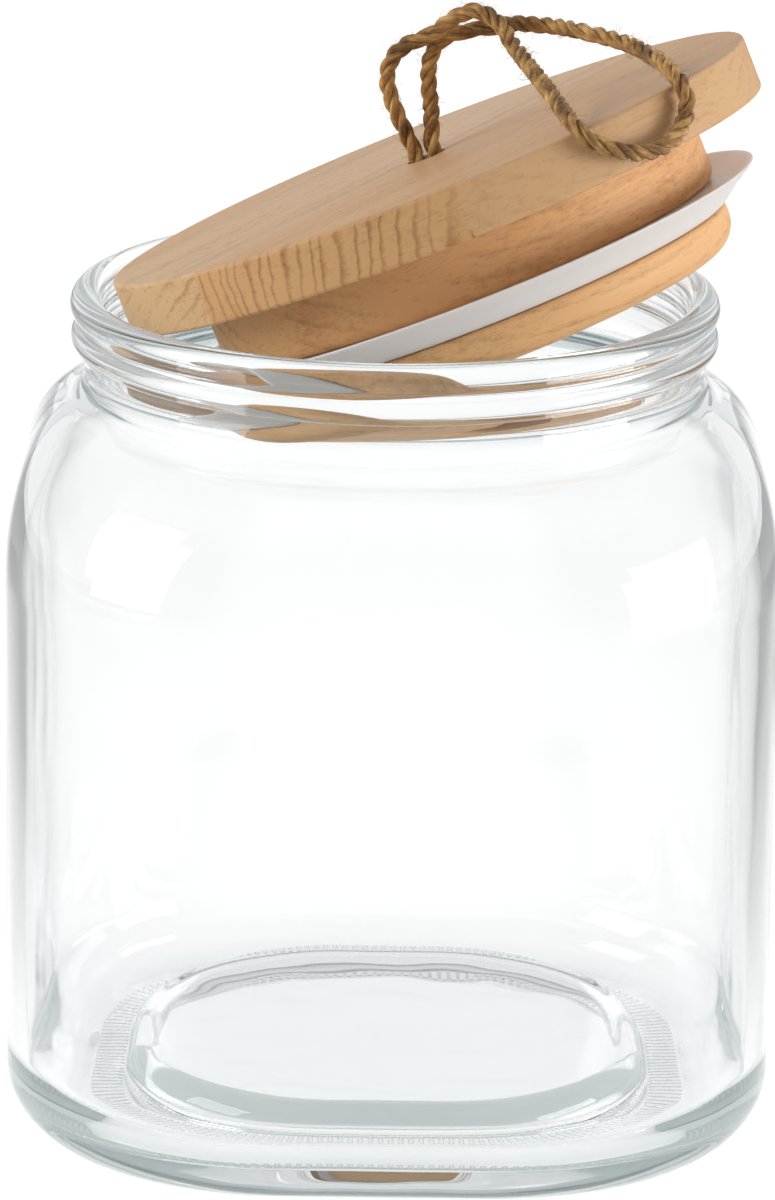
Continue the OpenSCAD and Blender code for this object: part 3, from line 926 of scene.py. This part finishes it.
strength = maths(nt, "MULTIPLY_ADD", bent, wedge, seen)
lift = node(nt, "ShaderNodeEmission", {"Color": (1, 1, 1, 1), "Strength": strength})
both = node(nt, "ShaderNodeAddShader", {0: skin.outputs[0], 1: lift.outputs[0]})
nt.links.new(both.outputs[0], nt.nodes["Material Output"].inputs["Surface"])
floor.data.materials.append(white)
print("floor laid")

# %% World: white behind and above, grey towards the front
world = bpy.data.worlds.new("studio")
bpy.context.scene.world = world
world.use_nodes = True
nt = world.node_tree
lit = nt.nodes["Background"]
room = node(nt, "ShaderNodeBackground", {"Strength": 1.0})
way = node(nt, "ShaderNodeSeparateXYZ", {0: node(nt, "ShaderNodeTexCoord").outputs["Generated"]}).outputs
behind = eased(nt, way["Y"], -0.65, 0.3, smooth=True)
above = eased(nt, way["Z"], 0.45, 0.8, smooth=True)
tones = {"Factor": maths(nt, "MAXIMUM", behind, above), 6: (0.42, 0.45, 0.46, 1), 7: (1, 1, 1, 1)}
tone = node(nt, "ShaderNodeMix", tones, data_type="RGBA")
nt.links.new(tone.outputs[2], room.inputs["Color"])
print("the room has its tones")

# %% World: what lights the object, stronger from the sides and weaker from above
sides = maths(nt, "MULTIPLY", way["X"], way["X"])
low = maths(nt, "MULTIPLY_ADD", way["Z"], -0.25, 0.54)
nt.links.new(maths(nt, "MULTIPLY_ADD", sides, 0.5, low), lit.inputs["Strength"])
lit.inputs["Color"].default_value = (1, 1, 1, 1)
rays = node(nt, "ShaderNodeLightPath").outputs
bent = maths(nt, "MAXIMUM", rays["Is Glossy Ray"], rays["Is Transmission Ray"])
seen = maths(nt, "MAXIMUM", rays["Is Camera Ray"], bent)
sky = node(nt, "ShaderNodeMixShader", {0: seen, 1: lit.outputs[0], 2: room.outputs[0]})
nt.links.new(sky.outputs[0], nt.nodes["World Output"].inputs["Surface"])
print("world", len(nt.nodes), "nodes")


# %% Lamps
def lamp(name, place, aim, wide, high, power):
    data = bpy.data.lights.new(name, "AREA")
    data.shape = "RECTANGLE"
    data.size = wide
    data.size_y = high
    data.energy = power
    obj = bpy.data.objects.new(name, data)
    bpy.context.scene.collection.objects.link(obj)
    turn = (Vector(aim) - Vector(place)).to_track_quat("-Z", "Y").to_matrix().to_4x4()
    obj.matrix_world = Matrix.Translation(place) @ turn
    return obj


lamp("left side", (-1.2, -0.4, 0.55), (0, 0, 0.15), 0.8, 0.8, 9)
lamp("right side", (1.25, -0.3, 0.26), (0, 0, 0.17), 0.9, 0.5, 10.5)
print("lit")
